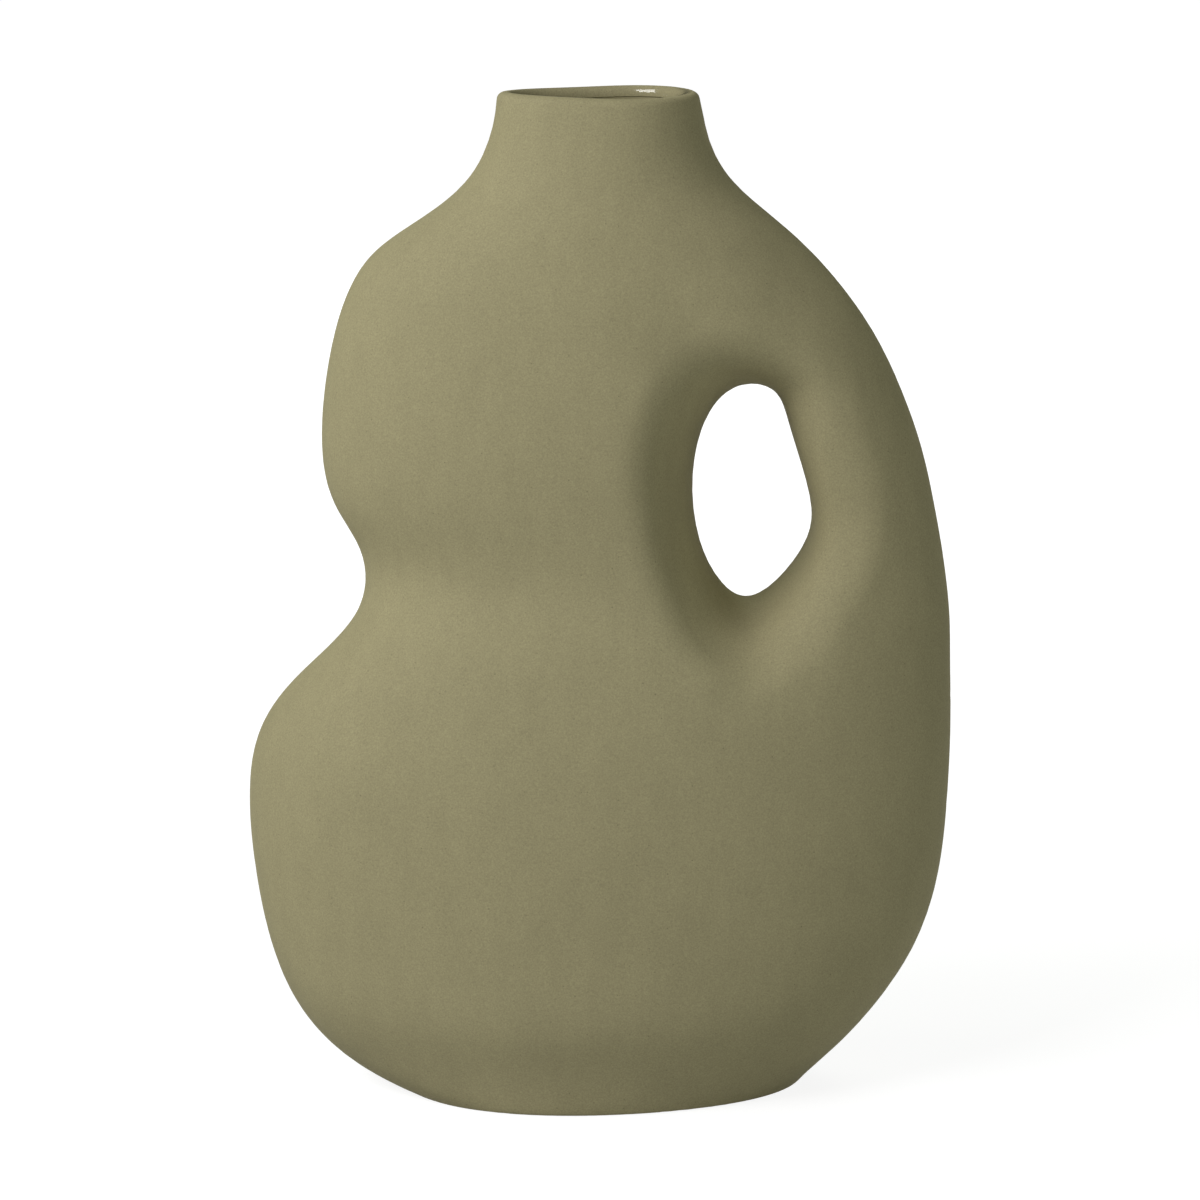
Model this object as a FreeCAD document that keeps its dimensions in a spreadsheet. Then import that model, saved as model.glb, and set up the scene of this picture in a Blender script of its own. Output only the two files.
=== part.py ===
import FreeCAD, Part
import math
import os
import Sketcher
from collections import namedtuple

# Pillow vase: a slip-cast stoneware flask, flattened front to back, with a hand hole through its right
# side. The clay shell is one hollow casting of even wall, and a thin clear glaze lines the inside.
# +Z is up, the front faces -Y, and the origin is the middle of the foot on the surface it stands on.

# The sizes in millimetres, each with what it measures.
SIZES = [
    ("height", 300, "foot to lip"),
    ("body_width", 211, "left to right over the shoulders and belly"),
    ("body_depth", 101, "front to back at the belly"),
    ("foot_width", 121.6, "left to right across the foot"),
    ("foot_depth", 85, "front to back across the foot"),
    ("mouth_width", 60, "left to right across the lip"),
    ("mouth_depth", 42, "front to back across the lip"),
    ("wall", 4.5, "thickness of the fired clay"),
    ("glaze", 0.5, "thickness of the glaze inside"),
    ("glaze_stop", 3, "bare clay between the lip and the glaze"),
    ("hole_width", 35.8, "hand hole at its waist, left to right"),
    ("hole_height", 65, "hand hole at its waist, top to bottom"),
    ("hole_flare", 22, "how far the hand hole opens out by the belly's depth"),
    ("hole_round", 14, "radius that turns the hand hole into the front and back"),
    ("floor_round", 7, "radius between the wall and the floor inside"),
    ("foot_round", 1.6, "radius round the edge of the foot"),
    ("foot_ring", 8, "width of the ring that the vase stands on"),
    ("foot_recess", 1.2, "how far the base is raised inside the ring"),
    ("lip_outer_round", 2.4, "radius on the outer edge of the lip"),
    ("lip_inner_round", 1.6, "radius on the inner edge of the lip"),
    ("overrun", 10, "how far a cut runs past what it cuts"),
]

# The outer form is a stack of egg-shaped level sections. Each row gives the section's height as a share
# of the vase's, the ring whose width and depth it follows, its left edge, right edge and crest as shares
# of the ring's width from the vase's middle, and its depth as a share of the ring's.
STATION_SHARES = [
    (0.000, "foot", -0.500, 0.500, -0.097, 1.000),
    (0.026, "foot", -0.629, 0.565, -0.066, 1.050),
    (0.049, "body", -0.401, 0.359, -0.024, 0.925),
    (0.084, "body", -0.438, 0.401, -0.014, 0.979),
    (0.136, "body", -0.469, 0.448, -0.006, 0.997),
    (0.214, "body", -0.492, 0.484, -0.002, 1.000),
    (0.297, "body", -0.500, 0.496, 0.001, 0.980),
    (0.375, "body", -0.474, 0.499, 0.006, 0.931),
    (0.411, "body", -0.435, 0.498, 0.011, 0.900),
    (0.446, "body", -0.384, 0.497, 0.016, 0.869),
    (0.482, "body", -0.344, 0.495, 0.022, 0.836),
    (0.515, "body", -0.332, 0.490, 0.028, 0.808),
    (0.548, "body", -0.341, 0.483, 0.026, 0.798),
    (0.589, "body", -0.373, 0.472, 0.022, 0.798),
    (0.644, "body", -0.391, 0.454, 0.019, 0.796),
    (0.704, "body", -0.387, 0.424, 0.015, 0.774),
    (0.764, "body", -0.371, 0.382, 0.011, 0.725),
    (0.809, "body", -0.348, 0.337, 0.009, 0.668),
    (0.843, "body", -0.313, 0.294, 0.006, 0.609),
    (0.878, "mouth", -0.855, 0.838, 0.020, 1.327),
    (0.912, "mouth", -0.655, 0.650, 0.032, 1.183),
    (0.952, "mouth", -0.545, 0.535, 0.067, 1.066),
    (1.000, "mouth", -0.503, 0.478, 0.105, 1.000),
]

# The taper of the base runs on below the foot, where it is cut off level.
BELOW_FOOT_SHARES = ("foot", -0.370, 0.400, -0.120, 0.850)

# The hand hole's middle, as shares of the vase's width from its middle and of its height.
HOLE_ACROSS_SHARE = 0.2156
HOLE_UP_SHARE = 0.6033

# The hand hole's outline, from its right side round by the top. Each row gives a point as shares of the
# hole's width and height from its middle, the way that the wall faces there in degrees, and how much of
# the flare it takes.
HOLE_SHARES = [
    (0.512, -0.044, 5, 0.50),
    (0.290, 0.304, 20, 0.60),
    (0.214, 0.504, 60, 1.20),
    (-0.183, 0.519, 115, 2.00),
    (-0.450, 0.325, 155, 1.50),
    (-0.535, -0.004, 180, 1.15),
    (-0.421, -0.315, 205, 1.00),
    (-0.171, -0.508, 240, 1.25),
    (0.066, -0.525, 295, 1.25),
    (0.496, -0.264, 335, 0.60),
]

# A closed cubic curve through eight even poles runs this share of the way out to them.
POLES = 8
POLE_TURN = 2 * math.pi / POLES
CURVE_SHARE = (2 + math.cos(POLE_TURN)) / 3

# The outer form runs on past the lip, so that the hollow runs out through the mouth.
SKIN_TOP = "(Sizes.height + Sizes.wall + Sizes.glaze + Sizes.overrun)"

# The insets of the three forms: the outside of the clay, its inside, and the inside of the glaze.
NO_INSET = "0"
CLAY = "Sizes.wall"
CLAY_AND_GLAZE = "(Sizes.wall + Sizes.glaze)"

# Two heights closer than this are one height.
SAME = 0.001

# The glaze stops at this height, where the hollow in the clay narrows to the mouth.
STOP = "(Sizes.height - Sizes.glaze_stop)"

# The sections of the foot and the lip are next to the lowest and the highest one.
FOOT = 1
LIP = -2

Station = namedtuple("Station", "up ring left right crest depth")
SIDES = ("left", "right", "front")


def fill_sheet(doc):
    """Put every size in the sheet that the model follows."""
    sheet = doc.addObject("Spreadsheet::Sheet", "Sizes")
    for row, (alias, value, meaning) in enumerate(SIZES, start=1):
        sheet.set(f"A{row}", meaning)
        sheet.set(f"B{row}", str(value))
        sheet.setAlias(f"B{row}", alias)
    doc.recompute()


def attach(sketch, body, role, offset):
    """Lay a sketch on one of its body's own planes, moved along the plane's normal."""
    plane = next(item for item in body.Origin.OriginFeatures if item.Role == role)
    sketch.AttachmentSupport = [(plane, "")]
    sketch.MapMode = "FlatFace"
    sketch.setExpression(".AttachmentOffset.Base.z", offset)


def closed_curve(body, name, role, offset, poles):
    """Draw a closed cubic curve whose poles follow pairs of expressions, one pair for each pole."""
    sketch = body.newObject("Sketcher::SketchObject", name)
    attach(sketch, body, role, offset)
    points = [FreeCAD.Vector(*(sketch.evalExpression(text) for text in pair)) for pair in poles]
    curve = Part.BSplineCurve()
    curve.buildFromPolesMultsKnots(points, [1] * (len(points) + 1), range(len(points) + 1), True, 3)
    spline = sketch.addGeometry(curve, False)
    for index, (point, pair) in enumerate(zip(points, poles)):
        mark = sketch.addGeometry(Part.Circle(point, FreeCAD.Vector(0, 0, 1), 1), True)
        sketch.addConstraint(
            Sketcher.Constraint("InternalAlignment:Sketcher::BSplineControlPoint", mark, 3, spline, index))
        sketch.addConstraint(Sketcher.Constraint("Weight", mark, 1.0))
        for kind, value, text in zip(("DistanceX", "DistanceY"), point, pair):
            number = sketch.addConstraint(Sketcher.Constraint(kind, -1, 1, mark, 3, value))
            sketch.setExpression(f"Constraints[{number}]", text)
    return sketch


def stations():
    """Every level section, from below the foot to past the lip."""
    rows = [("(-Sizes.overrun)", *BELOW_FOOT_SHARES)]
    rows += [(f"Sizes.height * {up}", *shares) for up, *shares in STATION_SHARES]
    rows.append((SKIN_TOP, *STATION_SHARES[-1][1:]))
    return [Station(*row) for row in rows]


def edge(row, side):
    """How far a section reaches on one side, from the vase's middle."""
    if side == "front":
        return f"Sizes.{row.ring}_depth * {row.depth / 2}"
    return f"Sizes.{row.ring}_width * {getattr(row, side)}"


def level_wall(rows, index, side, inset):
    """A wall's thickness as a level cut shows it, where one side of a section leans."""
    low, high = rows[max(index - 1, 0)], rows[min(index + 1, len(rows) - 1)]
    lean = f"({edge(high, side)} - {edge(low, side)}) / ({high.up} - {low.up})"
    return f"{inset} * sqrt(1 + ({lean}) ^ 2)"


def section_poles(rows, index, inset):
    """Poles of one level section, moved in by a wall's thickness."""
    return egg_poles(rows[index], {side: level_wall(rows, index, side, inset) for side in SIDES})


def egg_poles(row, insets):
    """Poles of a level section: an oval whose crest divides its width into two unequal reaches."""
    poles = []
    for pole in range(POLES):
        across = math.cos(pole * POLE_TURN) / CURVE_SHARE
        along = math.sin(pole * POLE_TURN) / CURVE_SHARE
        side = "right" if across > 0 else "left"
        reach = row.crest + abs(getattr(row, side) - row.crest) * across
        poles.append((
            f"Sizes.{row.ring}_width * {reach:.6f} - {insets[side]} * {across:.6f}",
            f"({edge(row, 'front')} - {insets['front']}) * {along:.6f}",
        ))
    return poles


def hole_poles(opening_share, inset):
    """Poles of the hand hole's outline at its waist, or where it has opened by a share of its flare.

    The inset grows the outline square to the flaring wall, so that the clay keeps its thickness.
    """
    poles = []
    for across, up, facing, flare in HOLE_SHARES:
        opened = f"Sizes.hole_flare * {flare * opening_share}"
        lean = f"4 * {opened} / Sizes.body_depth"
        grown = f"({opened} + {inset} * sqrt(1 + ({lean}) ^ 2))"
        poles.append((
            f"Sizes.body_width * {HOLE_ACROSS_SHARE} + Sizes.hole_width * {across} + {grown} * cos({facing})",
            f"Sizes.height * {HOLE_UP_SHARE} + Sizes.hole_height * {up} + {grown} * sin({facing})",
        ))
    return poles


def level_edges(shape, level):
    """Names of the edges that lie in the level plane at a height, the longest first."""
    found = [
        (edge.Length, f"Edge{index}")
        for index, edge in enumerate(shape.Edges, start=1)
        if max(abs(edge.BoundBox.ZMin - level), abs(edge.BoundBox.ZMax - level)) < SAME
    ]
    return [name for length, name in sorted(found, reverse=True)]


def hole_rims(sizes, shape):
    """Names of the two closed edges where the hand hole meets the front and the back."""
    names = []
    for index, edge in enumerate(shape.Edges, start=1):
        middle = edge.BoundBox.Center
        across = middle.x - sizes.body_width * HOLE_ACROSS_SHARE
        up = middle.z - sizes.height * HOLE_UP_SHARE
        if math.hypot(across, up) < sizes.hole_width and abs(middle.y) > sizes.wall:
            names.append(f"Edge{index}")
    return names


def round_edges(body, name, edges, radius):
    """Round named edges of a body's last feature."""
    base = body.Tip
    rounding = body.newObject("PartDesign::Fillet", name)
    rounding.Base = (base, edges)
    rounding.setExpression("Radius", radius)
    body.Document.recompute()


def loft(body, kind, name, sections):
    """Add or subtract a smooth loft through sketched sections."""
    feature = body.newObject(f"PartDesign::{kind}", name)
    feature.Profile = sections[0]
    feature.Sections = sections[1:]
    body.Document.recompute()


def cut_away(body, name, sketch, length, upward):
    """Cut from a level sketch, upward or downward, and make sure that it took something."""
    before = body.Tip.Shape.Volume
    pocket = body.newObject("PartDesign::Pocket", name)
    pocket.Profile = sketch
    pocket.Reversed = upward
    pocket.setExpression("Length", length)
    body.Document.recompute()
    if body.Shape.Volume >= before:
        raise RuntimeError(f"{name} cut nothing")


def cut_level(body, end, level, upward):
    """Cut a form off level at a height, and take away what runs on past it."""
    sketch = body.newObject("Sketcher::SketchObject", f"{body.Name}{end}Outline")
    attach(sketch, body, "XY_Plane", level)
    radius = sketch.evalExpression("Sizes.body_width")
    circle = sketch.addGeometry(Part.Circle(FreeCAD.Vector(), FreeCAD.Vector(0, 0, 1), radius), False)
    sketch.addConstraint(Sketcher.Constraint("Coincident", circle, 3, -1, 1))
    number = sketch.addConstraint(Sketcher.Constraint("Radius", circle, radius))
    sketch.setExpression(f"Constraints[{number}]", "Sizes.body_width")
    length = f"{SKIN_TOP} - {level}" if upward else f"{level} + Sizes.overrun"
    cut_away(body, f"{body.Name}{end}", sketch, f"{length} + Sizes.overrun", upward)


def pierced_form(doc, name, inset):
    """The closed form of the vase, moved in by an inset, with the flaring hand hole through it."""
    body = doc.addObject("PartDesign::Body", name)
    doc.recompute()
    rows = stations()
    levels = [
        closed_curve(body, f"{name}Level{index}", "XY_Plane", row.up, section_poles(rows, index, inset))
        for index, row in enumerate(rows)
    ]
    loft(body, "AdditiveLoft", f"{name}Skin", levels)
    half = "Sizes.body_depth / 2"
    outlines = [
        closed_curve(body, f"{name}Hole{label}", "XZ_Plane", offset, hole_poles(opening_share, inset))
        for label, offset, opening_share in (("Front", half, 1), ("Waist", "0", 0), ("Back", f"-{half}", 1))
    ]
    loft(body, "SubtractiveLoft", f"{name}Hole", outlines)
    rims = hole_rims(doc.Sizes, body.Shape)
    round_edges(body, f"{name}HoleRound", rims, f"Sizes.hole_round - {inset}")
    return body


def hollow_form(doc, name, inset):
    """The space inside the clay, or inside the glaze, with its level floor and rounded corner."""
    body = pierced_form(doc, name, inset)
    cut_level(body, "Floor", inset, upward=False)
    floor = level_edges(body.Shape, body.evalExpression(inset))
    round_edges(body, f"{name}FloorRound", floor, f"Sizes.floor_round + {CLAY} - {inset}")
    return body


def difference(doc, name, whole, taken):
    """Take one form out of another."""
    cut = doc.addObject("Part::Cut", name)
    cut.Base = whole
    cut.Tool = taken
    doc.recompute()
    return cut


def add_vase_body(doc, outside, cavity):
    """The clay: an even shell, level at the lip, that stands on a narrow ring."""
    body = doc.addObject("PartDesign::Body", "vase_body")
    body.BaseFeature = difference(doc, "Shell", outside, cavity)
    doc.recompute()
    cut_level(body, "Lip", "Sizes.height", upward=True)
    outer = level_edges(body.Shape, doc.Sizes.height)
    round_edges(body, "LipOuterRound", outer, "min(Sizes.lip_outer_round; Sizes.wall / 2)")
    mouth = closed_curve(
        body, "MouthOutline", "XY_Plane", "Sizes.height", section_poles(stations(), LIP, CLAY_AND_GLAZE))
    cut_away(body, "Mouth", mouth, "Sizes.glaze_stop + Sizes.overrun", upward=False)
    inner = level_edges(body.Shape, doc.Sizes.height)[-1:]
    round_edges(body, "LipInnerRound", inner, "min(Sizes.lip_inner_round; Sizes.wall / 3)")
    cut_level(body, "Foot", NO_INSET, upward=False)
    inside_ring = egg_poles(stations()[FOOT], dict.fromkeys(SIDES, "Sizes.foot_ring"))
    recess = closed_curve(body, "FootRecessOutline", "XY_Plane", NO_INSET, inside_ring)
    cut_away(body, "FootRecess", recess, "Sizes.foot_recess", upward=True)
    foot = level_edges(body.Shape, 0)[:1]
    round_edges(body, "FootRound", foot, "Sizes.foot_round")
    return body


def check(doc, parts):
    """Stop on any failed feature or bad shape."""
    for item in doc.Objects:
        if "Invalid" in item.State or "Error" in item.State:
            raise RuntimeError(f"{item.Name} did not compute")
    for part in parts:
        shape = part.Shape
        if shape.isNull() or not shape.isValid() or len(shape.Solids) != 1:
            raise RuntimeError(f"{part.Label} is not one valid solid")


def main():
    doc = FreeCAD.newDocument("PillowVase")
    fill_sheet(doc)
    outside = pierced_form(doc, "Outside", NO_INSET)
    cavity = hollow_form(doc, "Cavity", CLAY)
    cut_level(cavity, "Stop", STOP, upward=True)
    core = hollow_form(doc, "Core", CLAY_AND_GLAZE)
    parts = [add_vase_body(doc, outside, cavity), difference(doc, "inner_glaze", cavity, core)]
    check(doc, parts)
    os.makedirs("parts", exist_ok=True)
    for part in parts:
        part.Shape.exportStep(f"parts/{part.Label}.step")
        print(part.Label, round(part.Shape.Volume), "mm3")


main()
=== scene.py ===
import math

import bpy
import numpy as np
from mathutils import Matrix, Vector


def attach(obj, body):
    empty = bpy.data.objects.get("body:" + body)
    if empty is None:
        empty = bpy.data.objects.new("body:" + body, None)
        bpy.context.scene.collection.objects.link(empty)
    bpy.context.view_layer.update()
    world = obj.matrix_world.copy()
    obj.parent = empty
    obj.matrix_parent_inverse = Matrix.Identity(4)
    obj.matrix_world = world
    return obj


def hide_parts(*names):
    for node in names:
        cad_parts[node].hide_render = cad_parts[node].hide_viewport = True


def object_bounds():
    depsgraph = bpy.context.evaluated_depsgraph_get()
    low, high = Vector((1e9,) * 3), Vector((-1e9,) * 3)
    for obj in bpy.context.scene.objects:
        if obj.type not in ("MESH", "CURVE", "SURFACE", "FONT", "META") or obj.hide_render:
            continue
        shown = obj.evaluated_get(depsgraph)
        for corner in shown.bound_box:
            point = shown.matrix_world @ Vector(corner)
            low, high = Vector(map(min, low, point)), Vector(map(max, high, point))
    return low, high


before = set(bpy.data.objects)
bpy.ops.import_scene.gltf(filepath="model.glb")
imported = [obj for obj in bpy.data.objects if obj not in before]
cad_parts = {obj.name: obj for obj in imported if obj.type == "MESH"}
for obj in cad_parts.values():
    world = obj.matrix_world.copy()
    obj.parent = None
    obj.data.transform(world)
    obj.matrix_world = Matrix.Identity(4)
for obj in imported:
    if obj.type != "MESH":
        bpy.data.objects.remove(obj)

bl_info = {
    "name": "Pillow vase",
    "version": (1, 0, 0),
    "blender": (4, 5, 0),
    "location": "3D View > Sidebar > Vase",
    "description": "A slip-cast stoneware flask with a hand hole and a glazed inside, and its studio",
    "category": "Object",
}

CAD_BOX = [list(corner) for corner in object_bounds()]
LIP_TOP = CAD_BOX[1][2]
MM = 0.001
# Edges that turn more than this stay sharp.
SHARP = math.radians(35)

# Nearly all values of a noise texture lie this far or less from its middle. Fine grain uses a wider spread.
NOISE_SPREAD = 0.2
GRAIN_SPREAD = 0.25
# A speck's dark core and soft edge, as shares of the spacing, and how much of its colour the darkest shows.
SPECK_RADIUS_SHARES = (0.06, 0.16)
SPECK_STRENGTH = 0.55
# Where the thin edge of the glaze is still whole and where it has run out, as shares of its oval.
FILM_EDGE_SHARES = (0.98, 1.03)

# The lamps stand on a sphere round the vase's middle. Each row gives the name of the lamp and of its power,
# its azimuth from the front and its elevation in degrees, and its width and height in metres.
LAMPS = (
    ("key", -50, 38, 1.1, 0.8),
    ("side", -85, 38, 0.9, 0.9),
    ("back", 150, 38, 0.9, 0.9),
    ("rear", -165, 30, 1.2, 0.9),
    ("right", 75, 8, 0.9, 0.9),
    ("front", 10, 8, 0.9, 0.9),
)
LAMP_DISTANCE = 2.0
VASE_MIDDLE = 0.15

# The camera of the photo, fitted to the vase's outline.
CAMERA_ELEVATION = 11.6
CAMERA_DISTANCE = 1.5
CAMERA_AIM = 0.1478
SENSOR_WIDTH = 36

PAPER_REACH = 12.0
PAPER_BELOW = 0.1 * MM

# The soft hollows and swellings that a cast form keeps from its mould and its drying, on the front and
# the back alike. Each row gives the middle across and up, the spread along and across its own line, the
# turn of that line from the level in degrees, and how far it stands out of the even form, in millimetres.
SWELLINGS = [
    (-38, 160, 45, 14, 0, -1.6),
    (24, 231, 9, 12, 25, -1.7),
    (31, 219, 11, 10, 0, -1.5),
    (17, 172, 5, 11, 0, 1.5),
    (46, 138, 8, 5, 64, -2.6),
    (57, 144, 9, 8, 64, -2.7),
    (64, 183, 26, 5, 92, 1.1),
    (62, 219, 8, 9, 0, 1.0),
    (62, 248, 12, 14, 30, -2.5),
    (0, 15, 90, 8, 0, -1.0),
]


def linear(hex_colour):
    """sRGB hex text as a linear colour: c / 12.92 below 0.04045, else ((c + 0.055) / 1.055) ** 2.4."""
    srgb = np.array([int(hex_colour[at:at + 2], 16) for at in (1, 3, 5)]) / 255
    return tuple(np.where(srgb <= 0.04045, srgb / 12.92, ((srgb + 0.055) / 1.055) ** 2.4))


def add_node(tree, kind, settings=None, links=None):
    """Add a node, set its properties and input values, and link its inputs from other sockets."""
    node = tree.nodes.new(kind)
    for name, value in (settings or {}).items():
        if isinstance(name, str) and name in node.bl_rna.properties:
            setattr(node, name, value)
        else:
            node.inputs[name].default_value = value
    for name, socket in (links or {}).items():
        tree.links.new(socket, node.inputs[name])
    return node


def either_ray(tree, one, other):
    """1 where a ray is of one of two kinds, else 0."""
    ray = add_node(tree, "ShaderNodeLightPath")
    return add_node(tree, "ShaderNodeMath", {"operation": "MAXIMUM"},
                    {0: ray.outputs[one], 1: ray.outputs[other]}).outputs[0]


def grey(level):
    """A linear grey as a colour."""
    return (level, level, level, 1)


def new_material(name):
    """An empty node material."""
    material = bpy.data.materials.new(name)
    material.use_nodes = True
    material.node_tree.nodes.clear()
    return material


def new_object(name, data):
    """Link an object with this data at the origin."""
    item = bpy.data.objects.new(name, data)
    bpy.context.scene.collection.objects.link(item)
    return item


def aimed(item, place, aim):
    """Put a lamp or camera at a place and point its -Z at another."""
    item.location = place
    item.rotation_mode = "QUATERNION"
    item.rotation_quaternion = (Vector(aim) - Vector(place)).to_track_quat("-Z", "Y")


def round_the_vase(azimuth, elevation, distance, height):
    """A place at a distance from a point above the foot, by its azimuth from the front and its elevation."""
    a, e = math.radians(azimuth), math.radians(elevation)
    reach = distance * math.cos(e)
    return (reach * math.sin(a), -reach * math.cos(a), height + distance * math.sin(e))


def welded(mesh):
    """A copy of a mesh's points and triangles, with points that share a place made one."""
    points = np.empty(len(mesh.vertices) * 3)
    mesh.vertices.foreach_get("co", points)
    corners = np.empty(len(mesh.loops), int)
    mesh.loops.foreach_get("vertex_index", corners)
    places, first, which = np.unique(
        np.round(points.reshape(-1, 3), 7), axis=0, return_index=True, return_inverse=True)
    triangles = which.reshape(-1)[corners].reshape(-1, 3)
    a, b, c = triangles.T
    triangles = triangles[(a != b) & (b != c) & (c != a)]
    return points.reshape(-1, 3)[first], triangles


def point_normals(points, triangles):
    """Unit normals at the points: the sum of the cross products of the triangles round each one."""
    a, b, c = (points[column] for column in triangles.T)
    across = np.cross(b - a, c - a)
    total = np.stack([np.bincount(triangles.ravel(), np.repeat(part, 3), len(points)) for part in across.T],
                     axis=1)
    return total / np.maximum(np.linalg.norm(total, axis=1, keepdims=True), 1e-20)


def swelling(x, z):
    """How far the form stands proud at a place seen from the front.

    Each row of the table adds its height times exp(-(u/along)^2 / 2 - (v/across)^2 / 2), where u and v are
    the distances from its middle along its own line and square to it.
    """
    proud = np.zeros_like(x)
    for middle, up, along, across, turn, height in SWELLINGS:
        c, s = math.cos(math.radians(turn)), math.sin(math.radians(turn))
        u = ((x - middle * MM) * c + (z - up * MM) * s) / (along * MM)
        v = ((z - up * MM) * c - (x - middle * MM) * s) / (across * MM)
        proud += height * MM * np.exp(-(u ** 2 + v ** 2) / 2)
    return proud


def sponged_lip(points, triangles, reach, pull):
    """The points with the lip's inner edge drawn down into a longer, softer curve.

    With s the distance below the lip's top as a share of the sponge's reach, a point of the inner face goes
    to 1 - (1 - s) ** pull, which leaves the top and the end of that reach where they are.
    """
    inwards = np.sum(point_normals(points, triangles)[:, :2] * points[:, :2], axis=1) < 0
    share = (LIP_TOP - points[:, 2]) / reach
    drawn = inwards & (share < 1)
    moved = points.copy()
    moved[drawn, 2] = LIP_TOP - reach * (1 - (1 - share[drawn].clip(0)) ** pull)
    return moved


def hand_worn_lip(points, low_towards, wave, fade):
    """The points with the lip lowered a little on two opposite sides, like a very shallow saddle.

    A point goes down by wave * (1 + cos(2 * (angle - low_towards))) / 2 times the smooth step
    t * t * (3 - 2 * t). Its angle is its direction round the neck, and t rises from 0 to 1 up to the top.
    """
    angle = np.arctan2(points[:, 1], points[:, 0])
    t = ((points[:, 2] - LIP_TOP + fade) / fade).clip(0, 1)
    moved = points.copy()
    moved[:, 2] -= wave * (1 + np.cos(2 * (angle - low_towards))) / 2 * t * t * (3 - 2 * t)
    return moved


def as_made(points, triangles, looks):
    """The points as the mould, the drying and the hand leave them."""
    return hand_worn_lip(as_cast(points, triangles), looks.lip_low_towards, looks.lip_wave, looks.lip_fade)


def as_cast(points, triangles):
    """The points with the swellings, which move both faces of the wall alike.

    A point moves forwards on the front and backwards on the back, by the swelling at its place times the
    share of its normal that lies along that way, so the sides, the lip, the foot and the hand hole's throat
    keep their places.
    """
    facing = np.abs(point_normals(points, triangles)[:, 1])
    moved = points.copy()
    moved[:, 1] += np.sign(points[:, 1]) * facing * swelling(points[:, 0], points[:, 2])
    return moved


def add_surface(name, points, triangles):
    """A smooth mesh object with its sharp edges kept."""
    mesh = bpy.data.meshes.new(name)
    mesh.from_pydata(points, [], triangles)
    mesh.shade_smooth()
    mesh.set_sharp_from_angle(angle=SHARP)
    return new_object(name, mesh)


def vary(tree, value, contrast, spread=NOISE_SPREAD):
    """A factor round 1 that leaves it by a contrast at the ends of a noise's spread."""
    return add_node(tree, "ShaderNodeMapRange",
                    {"From Min": 0.5 - spread, "From Max": 0.5 + spread,
                     "To Min": 1 - contrast, "To Max": 1 + contrast}, {"Value": value}).outputs[0]


def noise(tree, place, size, detail=2.0, roughness=0.5):
    """A noise texture's value whose forms are of a size in metres."""
    return add_node(tree, "ShaderNodeTexNoise", {"Scale": 1 / size, "Detail": detail, "Roughness": roughness},
                    {"Vector": place}).outputs["Fac"]


def multiply(tree, one, other):
    """The product of two values."""
    return add_node(tree, "ShaderNodeMath", {"operation": "MULTIPLY"}, {0: one, 1: other}).outputs[0]


def iron_specks(tree, place, looks):
    """How much of a speck's colour shows: a small soft dot in about half the cells, fainter in most."""
    cells = add_node(tree, "ShaderNodeTexVoronoi", {"Scale": 1 / looks.speck_spacing}, {"Vector": place})
    core, edge = SPECK_RADIUS_SHARES
    dot = add_node(tree, "ShaderNodeMapRange",
                   {"From Min": core, "From Max": edge, "To Min": 1.0, "To Max": 0.0},
                   {"Value": cells.outputs["Distance"]})
    chance = add_node(tree, "ShaderNodeSeparateColor", links={0: cells.outputs["Color"]})
    strength = add_node(tree, "ShaderNodeMapRange",
                        {"From Min": 0.5, "From Max": 1.0, "To Min": 0.0, "To Max": SPECK_STRENGTH},
                        {"Value": chance.outputs["Red"]})
    return multiply(tree, dot.outputs[0], strength.outputs[0])


def glaze_film(tree, place, looks):
    """Where the glaze's thin edge covers the clay: inside an oval round the mouth, above a height."""
    width, depth = looks.glazed_lip
    oval = add_node(tree, "ShaderNodeVectorMath",
                    {"operation": "MULTIPLY", 1: (1 / width, 1 / depth, 0)}, {0: place})
    ring = add_node(tree, "ShaderNodeVectorMath", {"operation": "LENGTH"}, {0: oval.outputs[0]})
    full, bare = FILM_EDGE_SHARES
    inside = add_node(tree, "ShaderNodeMapRange",
                      {"From Min": full, "From Max": bare, "To Min": 1.0, "To Max": 0.0},
                      {"Value": ring.outputs["Value"]})
    height = add_node(tree, "ShaderNodeSeparateXYZ", links={0: place})
    near_top = add_node(tree, "ShaderNodeMath", {"operation": "GREATER_THAN", 1: looks.glazed_from},
                        {0: height.outputs["Z"]})
    return multiply(tree, inside.outputs[0], near_top.outputs[0])


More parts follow.
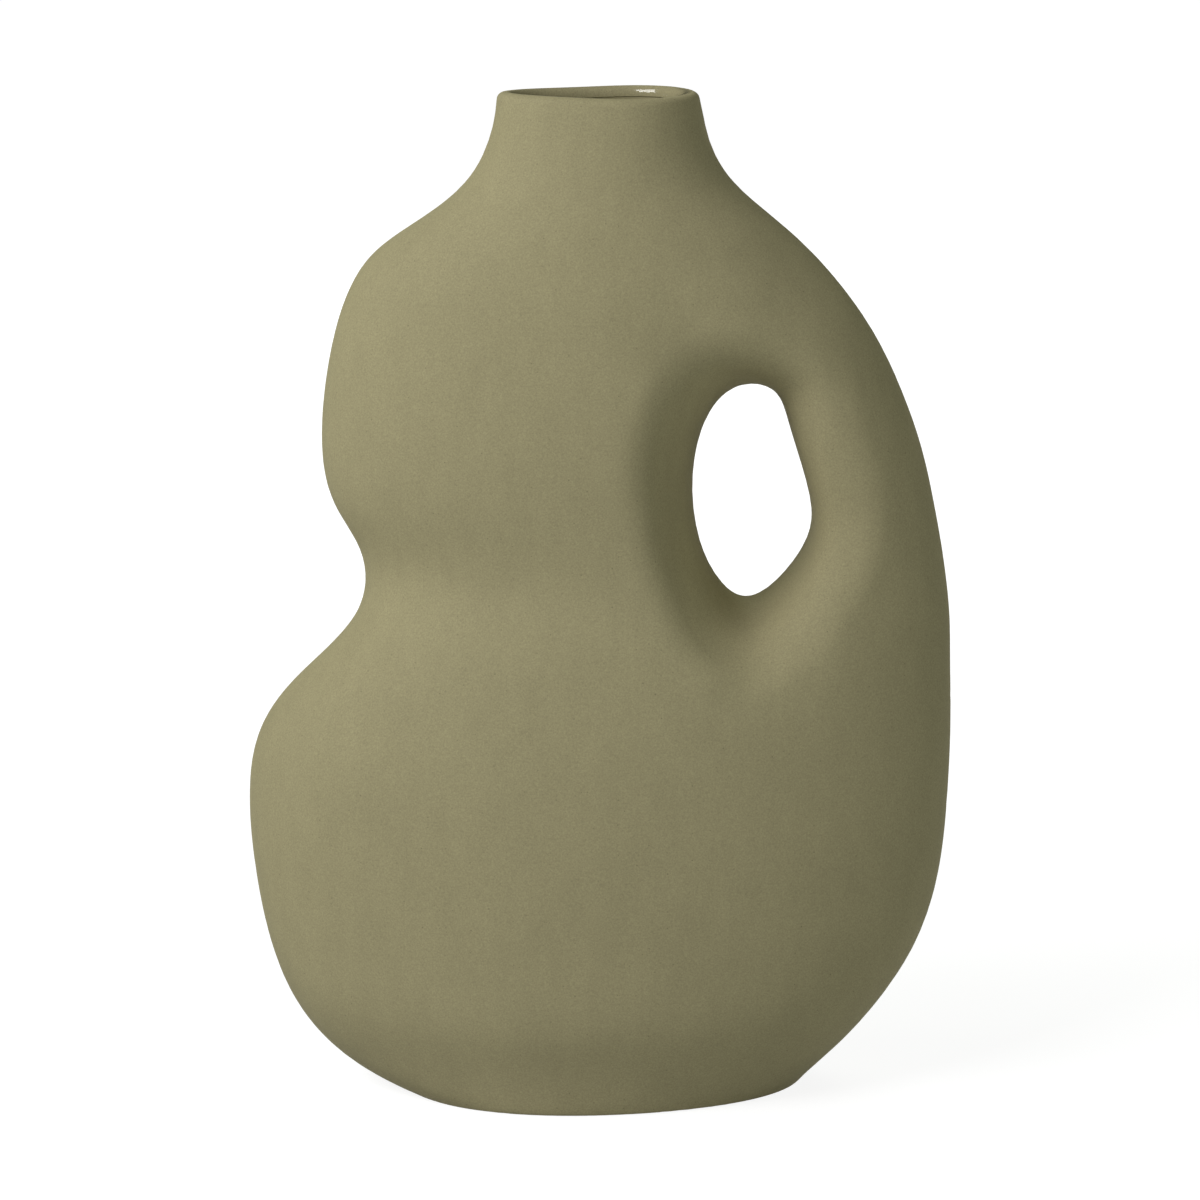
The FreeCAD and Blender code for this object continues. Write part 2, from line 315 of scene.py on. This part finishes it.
def stoneware(looks):
    """Unglazed stoneware, slip-cast and sponged.

    A matt, dry face: broad soft reflections, a fine grain of grog like very fine sandpaper, sparse dark
    iron specks, and clouds where the slip dried a little darker or lighter.
    """
    material = new_material("sponged_stoneware")
    tree = material.node_tree
    place = add_node(tree, "ShaderNodeTexCoord").outputs["Object"]
    # Grog grains are about 0.2 mm across. They are drawn more than twice as coarse, so that they show.
    grain = noise(tree, place, looks.grain, roughness=0.7)
    clouds = noise(tree, place, looks.clouds, detail=3.0, roughness=0.55)
    # The sponge leaves faint upright wipes, longer than they are wide.
    upright = add_node(tree, "ShaderNodeVectorMath",
                       {"operation": "MULTIPLY", 1: (1, 1, 1 / looks.wipe_length)}, {0: place})
    wipes = noise(tree, upright.outputs[0], looks.wipes)
    broad = multiply(tree, vary(tree, wipes, looks.wipe_contrast), vary(tree, clouds, looks.cloud_contrast))
    tone = multiply(tree, vary(tree, grain, looks.grain_contrast, spread=GRAIN_SPREAD), broad)
    clay = add_node(tree, "ShaderNodeVectorMath", {"operation": "SCALE", 0: looks.clay}, {"Scale": tone})
    colour = add_node(tree, "ShaderNodeMix", {"data_type": "RGBA", "B": (*looks.specks, 1)},
                      {"Factor": iron_specks(tree, place, looks), "A": clay.outputs[0]})
    # Pressed grains are a little smoother than the pores between them.
    rough = add_node(tree, "ShaderNodeMapRange",
                     {"From Min": 0.3, "From Max": 0.7, "To Min": 0.72, "To Max": 0.84}, {"Value": grain})
    bump = add_node(tree, "ShaderNodeBump", {"Strength": 0.35, "Distance": looks.grain_relief},
                    {"Height": grain})
    shader = add_node(tree, "ShaderNodeBsdfPrincipled",
                      {"IOR": 1.5, "Specular IOR Level": 0.2, "Coat Roughness": 0.08, "Coat IOR": 1.6},
                      {"Base Color": colour.outputs["Result"], "Roughness": rough.outputs[0],
                       "Normal": bump.outputs[0], "Coat Weight": glaze_film(tree, place, looks)})
    add_node(tree, "ShaderNodeOutputMaterial", links={"Surface": shader.outputs[0]})
    return material


def clear_glaze(looks):
    """A thin clear glaze over the same clay, poured in and drained.

    It looks wet: the clay shows through, with sharp reflections, a faint ripple and thicker, darker runs.
    """
    material = new_material("poured_clear_glaze")
    tree = material.node_tree
    place = add_node(tree, "ShaderNodeTexCoord").outputs["Object"]
    runs = noise(tree, place, looks.glaze_ripple)
    tint = add_node(tree, "ShaderNodeVectorMath", {"operation": "SCALE", 0: looks.glaze},
                    {"Scale": vary(tree, runs, looks.glaze_contrast)})
    bump = add_node(tree, "ShaderNodeBump", {"Strength": 0.5, "Distance": looks.glaze_relief},
                    {"Height": runs})
    shader = add_node(tree, "ShaderNodeBsdfPrincipled",
                      {"Roughness": 0.45, "IOR": 1.5, "Coat Weight": 1.0, "Coat Roughness": 0.06,
                       "Coat IOR": 1.52},
                      {"Base Color": tint.outputs[0], "Normal": bump.outputs[0],
                       "Coat Normal": bump.outputs[0]})
    add_node(tree, "ShaderNodeOutputMaterial", links={"Surface": shader.outputs[0]})
    return material


def matt_paper(studio):
    """Matt white paper: to the eye an even white that keeps the vase's soft shadow.

    What the camera and mirrors see is mostly its own light, a little less of it under and round the vase,
    where the lamps' light and the shadow show. What it throws back on the vase is a plain paper's light.
    """
    material = new_material("matt_white_paper")
    tree = material.node_tree
    place = add_node(tree, "ShaderNodeTexCoord").outputs["Object"]
    away = add_node(tree, "ShaderNodeVectorMath", {"operation": "LENGTH"}, {0: place})
    near, far = studio.paper_fade
    own = add_node(tree, "ShaderNodeMapRange",
                   {"From Min": near, "From Max": far, "To Min": studio.paper_near, "To Max": 1.0},
                   {"Value": away.outputs["Value"]})
    thrown = add_node(tree, "ShaderNodeBsdfDiffuse", {"Color": grey(studio.paper_bounce)})
    lit = add_node(tree, "ShaderNodeBsdfDiffuse", {"Color": grey(studio.paper_shade)})
    shine = add_node(tree, "ShaderNodeEmission", {"Color": grey(1)}, {"Strength": own.outputs[0]})
    seen = add_node(tree, "ShaderNodeAddShader", links={0: lit.outputs[0], 1: shine.outputs[0]})
    mix = add_node(tree, "ShaderNodeMixShader",
                   links={0: either_ray(tree, "Is Camera Ray", "Is Glossy Ray"), 1: thrown.outputs[0],
                          2: seen.outputs[0]})
    add_node(tree, "ShaderNodeOutputMaterial", links={"Surface": mix.outputs[0]})
    return material


def white_sky(studio):
    """A world that looks white and lights the vase very little."""
    world = bpy.data.worlds.new("studio")
    world.use_nodes = True
    tree = world.node_tree
    tree.nodes.clear()
    strength = add_node(tree, "ShaderNodeMapRange", {"To Min": studio.sky, "To Max": 1.0},
                        {"Value": either_ray(tree, "Is Camera Ray", "Is Transmission Ray")})
    sky = add_node(tree, "ShaderNodeBackground", {"Color": grey(1)}, {"Strength": strength.outputs[0]})
    add_node(tree, "ShaderNodeOutputWorld", links={"Surface": sky.outputs[0]})
    return world


class VaseLooks(bpy.types.PropertyGroup):
    """Colours and grain sizes of the clay and the glaze."""

    clay: bpy.props.FloatVectorProperty(
        name="Clay", description="Colour of the fired clay", subtype="COLOR", min=0, max=1,
        default=linear("#a09876"))
    specks: bpy.props.FloatVectorProperty(
        name="Specks", description="Colour of the iron specks", subtype="COLOR", min=0, max=1,
        default=linear("#5d573f"))
    glaze: bpy.props.FloatVectorProperty(
        name="Glaze", description="Colour of the clay under the glaze", subtype="COLOR", min=0, max=1,
        default=linear("#a89f7c"))
    lip_reach: bpy.props.FloatProperty(
        name="Lip reach", description="How far down the mouth the sponge softens the lip's inner edge",
        unit="LENGTH", default=3 * MM)
    lip_pull: bpy.props.FloatProperty(
        name="Lip pull", description="How strongly the sponge draws the inner edge down", default=2.2)
    lip_wave: bpy.props.FloatProperty(
        name="Lip wave", description="How far the worn sides of the lip lie below its top", unit="LENGTH",
        default=0.6 * MM)
    lip_low_towards: bpy.props.FloatProperty(
        name="Lip low towards", description="Direction of a worn side, from the right of the front view",
        subtype="ANGLE", default=math.radians(-56))
    lip_fade: bpy.props.FloatProperty(
        name="Lip fade", description="Height over which the wave dies out down the neck", unit="LENGTH",
        default=20 * MM)
    glazed_lip: bpy.props.FloatVectorProperty(
        name="Glazed lip", description="Half width and half depth of the glaze's thin edge round the mouth",
        size=2, unit="LENGTH", default=(26.4 * MM, 17.4 * MM))
    glazed_from: bpy.props.FloatProperty(
        name="Glazed from", description="Height above which the clay inside that oval is glazed",
        unit="LENGTH", default=290 * MM)
    grain: bpy.props.FloatProperty(
        name="Grain", description="Size of the clay's grains as drawn", unit="LENGTH", default=0.5 * MM)
    grain_contrast: bpy.props.FloatProperty(
        name="Grain contrast", description="How far a grain's tone leaves the clay's", default=0.19)
    grain_relief: bpy.props.FloatProperty(
        name="Grain relief", description="Height of the clay's grains", unit="LENGTH", default=0.04 * MM)
    clouds: bpy.props.FloatProperty(
        name="Clouds", description="Size of the soft clouds in the clay", unit="LENGTH", default=28 * MM)
    cloud_contrast: bpy.props.FloatProperty(
        name="Cloud contrast", description="How far a cloud's tone leaves the clay's", default=0.03)
    wipes: bpy.props.FloatProperty(
        name="Wipes", description="Width of the sponge's wipes", unit="LENGTH", default=6 * MM)
    wipe_contrast: bpy.props.FloatProperty(
        name="Wipe contrast", description="How far a wipe's tone leaves the clay's", default=0.025)
    wipe_length: bpy.props.FloatProperty(
        name="Wipe length", description="Length of a wipe for a width of 1", default=3.0)
    speck_spacing: bpy.props.FloatProperty(
        name="Speck spacing", description="Distance between places that may hold a speck", unit="LENGTH",
        default=1.8 * MM)
    glaze_ripple: bpy.props.FloatProperty(
        name="Glaze ripple", description="Size of the ripples in the glaze", unit="LENGTH", default=9 * MM)
    glaze_relief: bpy.props.FloatProperty(
        name="Glaze relief", description="Height of the ripples in the glaze", unit="LENGTH",
        default=0.15 * MM)
    glaze_contrast: bpy.props.FloatProperty(
        name="Glaze contrast", description="How far a run's tone leaves the glaze's", default=0.07)


class VaseStudio(bpy.types.PropertyGroup):
    """The lamps, the paper that the vase stands on and the camera."""

    key: bpy.props.FloatProperty(
        name="Key", description="Power of the large softbox at the left", unit="POWER", default=27.5)
    side: bpy.props.FloatProperty(
        name="Side", description="Power of the lamp further round to the left", unit="POWER", default=7.0)
    back: bpy.props.FloatProperty(
        name="Back", description="Power of the lamp behind to the right", unit="POWER", default=7.0)
    rear: bpy.props.FloatProperty(
        name="Rear", description="Power of the lamp behind to the left", unit="POWER", default=9.0)
    right: bpy.props.FloatProperty(
        name="Right", description="Power of the low lamp at the right", unit="POWER", default=5.2)
    front: bpy.props.FloatProperty(
        name="Front", description="Power of the low lamp in front", unit="POWER", default=5.0)
    fill_tint: bpy.props.FloatVectorProperty(
        name="Fill tint", description="Colour of every lamp but the softbox", subtype="COLOR", min=0, max=1,
        default=(0.94, 1.0, 0.91))
    sky: bpy.props.FloatProperty(
        name="Sky", description="Strength of the even light from all round", default=0.02)
    paper_bounce: bpy.props.FloatProperty(
        name="Paper bounce", description="How much light the paper throws back", default=0.5)
    paper_near: bpy.props.FloatProperty(
        name="Paper near the vase", description="Strength of the paper's own light near the vase",
        default=0.88)
    paper_shade: bpy.props.FloatProperty(
        name="Paper shade", description="How much of the lamps' light and the shadow the paper shows",
        default=0.25)
    paper_fade: bpy.props.FloatVectorProperty(
        name="Paper fade", description="Distances from the vase between which the paper's own light rises",
        size=2, unit="LENGTH", default=(0.15, 0.9))
    lens: bpy.props.FloatProperty(
        name="Lens", description="Focal length of the camera, in millimetres", default=150.5)


class VASE_OT_clay_shell(bpy.types.Operator):
    """Dress the clay body: the shell with its cast swellings, in matt stoneware"""

    bl_idname = "vase.clay_shell"
    bl_label = "Clay shell"

    def execute(self, context):
        points, triangles = welded(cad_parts["vase_body"].data)
        looks = context.scene.vase_looks
        points = sponged_lip(points, triangles, looks.lip_reach, looks.lip_pull)
        shell = add_surface("clay_shell", as_made(points, triangles, looks), triangles)
        shell.data.materials.append(stoneware(looks))
        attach(shell, "root")
        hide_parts("vase_body")
        return {"FINISHED"}


class VASE_OT_inner_glaze(bpy.types.Operator):
    """Finish the glaze that lines the inside"""

    bl_idname = "vase.inner_glaze"
    bl_label = "Inner glaze"

    def execute(self, context):
        looks = context.scene.vase_looks
        points, triangles = welded(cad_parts["inner_glaze"].data)
        lining = add_surface("glaze_lining", as_made(points, triangles, looks), triangles)
        lining.data.materials.append(clear_glaze(looks))
        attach(lining, "root")
        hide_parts("inner_glaze")
        return {"FINISHED"}


class VASE_OT_studio(bpy.types.Operator):
    """Set up the paper, the lamps, the sky and the camera"""

    bl_idname = "vase.studio"
    bl_label = "Studio"

    def execute(self, context):
        scene = context.scene
        studio = scene.vase_studio
        scene.world = white_sky(studio)
        scene.view_settings.view_transform = "Standard"

        edge = PAPER_REACH
        sheet = bpy.data.meshes.new("paper")
        sheet.from_pydata([(x, y, -PAPER_BELOW) for x, y in ((-edge, -edge), (edge, -edge), (edge, edge),
                                                             (-edge, edge))], [], [(0, 1, 2, 3)])
        sheet.materials.append(matt_paper(studio))
        new_object("paper", sheet)

        for name, azimuth, elevation, width, height in LAMPS:
            light = bpy.data.lights.new(name, "AREA")
            light.shape = "RECTANGLE"
            light.size = width
            light.size_y = height
            light.energy = getattr(studio, name)
            lamp = new_object(name, light)
            aimed(lamp, round_the_vase(azimuth, elevation, LAMP_DISTANCE, VASE_MIDDLE), (0, 0, VASE_MIDDLE))
            if name != "key":
                # Only the softbox is mirrored in the glaze.
                lamp.visible_glossy = False
                light.color = studio.fill_tint

        view = bpy.data.cameras.new("photo_view")
        view.lens = studio.lens
        view.sensor_width = SENSOR_WIDTH
        camera = new_object("photo_view", view)
        aimed(camera, round_the_vase(0, CAMERA_ELEVATION, CAMERA_DISTANCE, CAMERA_AIM), (0, 0, CAMERA_AIM))
        scene.camera = camera
        return {"FINISHED"}


class VASE_PT_sidebar(bpy.types.Panel):
    """The vase's settings and the buttons that build it"""

    bl_idname = "VASE_PT_sidebar"
    bl_label = "Pillow vase"
    bl_space_type = "VIEW_3D"
    bl_region_type = "UI"
    bl_category = "Vase"

    def draw(self, context):
        for group in (context.scene.vase_looks, context.scene.vase_studio):
            for name in group.bl_rna.properties.keys():
                if name not in ("rna_type", "name"):
                    self.layout.prop(group, name)
        for operator in OPERATORS:
            self.layout.operator(operator.bl_idname)


OPERATORS = (VASE_OT_clay_shell, VASE_OT_inner_glaze, VASE_OT_studio)
CLASSES = (VaseLooks, VaseStudio, *OPERATORS, VASE_PT_sidebar)


def register():
    for item in CLASSES:
        bpy.utils.register_class(item)
    bpy.types.Scene.vase_looks = bpy.props.PointerProperty(type=VaseLooks)
    bpy.types.Scene.vase_studio = bpy.props.PointerProperty(type=VaseStudio)


def unregister():
    del bpy.types.Scene.vase_studio
    del bpy.types.Scene.vase_looks
    for item in reversed(CLASSES):
        bpy.utils.unregister_class(item)


def main():
    """Build the vase and its studio."""
    register()
    bpy.ops.vase.clay_shell()
    bpy.ops.vase.inner_glaze()
    bpy.ops.vase.studio()


if __name__ == "__main__":
    main()
